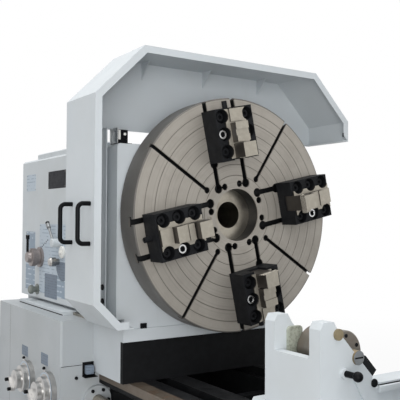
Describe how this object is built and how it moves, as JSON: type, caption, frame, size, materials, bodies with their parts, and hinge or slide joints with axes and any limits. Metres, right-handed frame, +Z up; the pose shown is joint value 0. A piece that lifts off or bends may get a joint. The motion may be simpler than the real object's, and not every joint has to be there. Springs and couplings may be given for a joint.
{
  "type": "faceplate lathe",
  "caption": "Heavy horizontal lathe: box headstock with slotted faceplate and jaws under an angular sheet guard, feed gearbox, long bed and open roller steady.",
  "frame": {"origin": "on the floor, straight below the centre of the faceplate's front face, on the foot of a cross rib of the bed", "axes": "+X along the spindle towards the tailstock, +Y to the rear of the machine, +Z up"},
  "size_m": [4.825, 1.733, 2.312],
  "materials": {
    "pale_paint": "semi-gloss, worn",
    "black_paint": "satin",
    "turned_face": "fine-turned, dull",
    "ground_steel": "ground",
    "worn_iron": "worn, lightly stained",
    "oiled_iron": "rough cast, oily",
    "bright_chrome": "bright",
    "black_plastic": "matt",
    "white_plastic": "gloss"
  },
  "bodies": {
    "machine": {"apron": "pale_paint", "bearing_blocks": "oiled_iron", "bearing_flanges": "pale_paint", "bed_front_beam": "pale_paint", "bed_rear_beam": "pale_paint", "bed_ribs": "pale_paint", "bed_ways": "worn_iron", "carriage_handles": "bright_chrome", "clamp_knobs": "black_plastic", "cross_slide": "pale_paint", "feed_rod": "ground_steel", "gearbox_lid": "pale_paint", "gearbox_lower": "pale_paint", "gearbox_upper": "pale_paint", "guard_rails": "ground_steel", "guard_switch": "black_plastic", "headstock_end_cover": "pale_paint", "headstock_housing": "pale_paint", "headstock_riser": "pale_paint", "headstock_top_cover": "pale_paint", "lead_screw": "ground_steel", "riser_front_panel": "black_paint", "roller_axles": "ground_steel", "saddle": "pale_paint", "screw_bracket": "pale_paint", "selector_disc": "white_plastic", "steady_bars": "black_paint", "steady_bosses": "worn_iron", "steady_foot": "pale_paint", "steady_frame": "pale_paint", "steady_levers": "pale_paint", "tailstock_base": "pale_paint", "tailstock_body": "pale_paint", "tailstock_quill": "ground_steel", "tailstock_wheel": "bright_chrome", "tool_post": "black_paint", "top_slide": "pale_paint"},
    "spindle_unit": {"spindle": "ground_steel", "faceplate": "turned_face", "jaw_bodies": "black_paint", "jaw_screws": "black_paint"},
    "jaw_1": {"stepped_jaw_1": "ground_steel"},
    "jaw_2": {"stepped_jaw_2": "ground_steel"},
    "jaw_3": {"stepped_jaw_3": "ground_steel"},
    "jaw_4": {"stepped_jaw_4": "ground_steel"},
    "guard": {"guard_near_side": "pale_paint", "guard_roof": "pale_paint", "guard_far_side": "pale_paint", "guard_back": "pale_paint", "guard_handles": "black_plastic"},
    "dial_left": {"feed_dial_left": "bright_chrome"},
    "dial_right": {"feed_dial_right": "bright_chrome"},
    "drum": {"speed_drum": "bright_chrome"},
    "lever": {"range_lever": "black_plastic"},
    "knob": {"shiny_knob": "bright_chrome"},
    "knob_low": {"low_knob": "black_plastic"},
    "roller_near": {"near_roller": "worn_iron"},
    "roller_far": {"far_roller": "worn_iron"}
  },
  "joints": [
    {"name": "spindle_turn", "type": "hinge", "parent": "machine", "child": "spindle_unit", "pos_m": [0, 0, 1.48], "axis": [1, 0, 0], "continuous": true},
    {"name": "jaw_1_slide", "type": "slide", "parent": "spindle_unit", "child": "jaw_1", "axis": [0, 0.9774, 0.2113], "range_m": [-0.105, 0]},
    {"name": "jaw_2_slide", "type": "slide", "parent": "spindle_unit", "child": "jaw_2", "axis": [0, -0.2113, 0.9774], "range_m": [-0.105, 0]},
    {"name": "jaw_3_slide", "type": "slide", "parent": "spindle_unit", "child": "jaw_3", "axis": [0, -0.9774, -0.2113], "range_m": [-0.105, 0]},
    {"name": "jaw_4_slide", "type": "slide", "parent": "spindle_unit", "child": "jaw_4", "axis": [0, 0.2113, -0.9774], "range_m": [-0.105, 0]},
    {"name": "guard_slide", "type": "slide", "parent": "machine", "child": "guard", "axis": [-1, 0, 0], "range_m": [0, 0.3]},
    {"name": "dial_left_turn", "type": "hinge", "parent": "machine", "child": "dial_left", "pos_m": [-0.98, -0.84, 0.52], "axis": [0, -1, 0], "continuous": true},
    {"name": "dial_right_turn", "type": "hinge", "parent": "machine", "child": "dial_right", "pos_m": [-0.642, -0.84, 0.52], "axis": [0, -1, 0], "continuous": true},
    {"name": "drum_turn", "type": "hinge", "parent": "machine", "child": "drum", "pos_m": [-1.241, -0.68, 1.21], "axis": [0, -1, 0], "range_deg": [-60, 60]},
    {"name": "lever_turn", "type": "hinge", "parent": "machine", "child": "lever", "pos_m": [-0.904, -0.68, 1.31], "axis": [0, -1, 0], "range_deg": [-84, 0]},
    {"name": "knob_turn", "type": "hinge", "parent": "machine", "child": "knob", "pos_m": [-0.93, -0.66, 1.197], "axis": [0, -1, 0], "continuous": true},
    {"name": "knob_low_turn", "type": "hinge", "parent": "machine", "child": "knob_low", "pos_m": [-1.29, -0.66, 1.002], "axis": [0, -1, 0], "continuous": true},
    {"name": "roller_near_turn", "type": "hinge", "parent": "machine", "child": "roller_near", "pos_m": [1.092, -0.391, 0.978], "axis": [1, 0, 0], "continuous": true},
    {"name": "roller_far_turn", "type": "hinge", "parent": "machine", "child": "roller_far", "pos_m": [1.092, 0.391, 0.978], "axis": [1, 0, 0], "continuous": true}
  ]
}
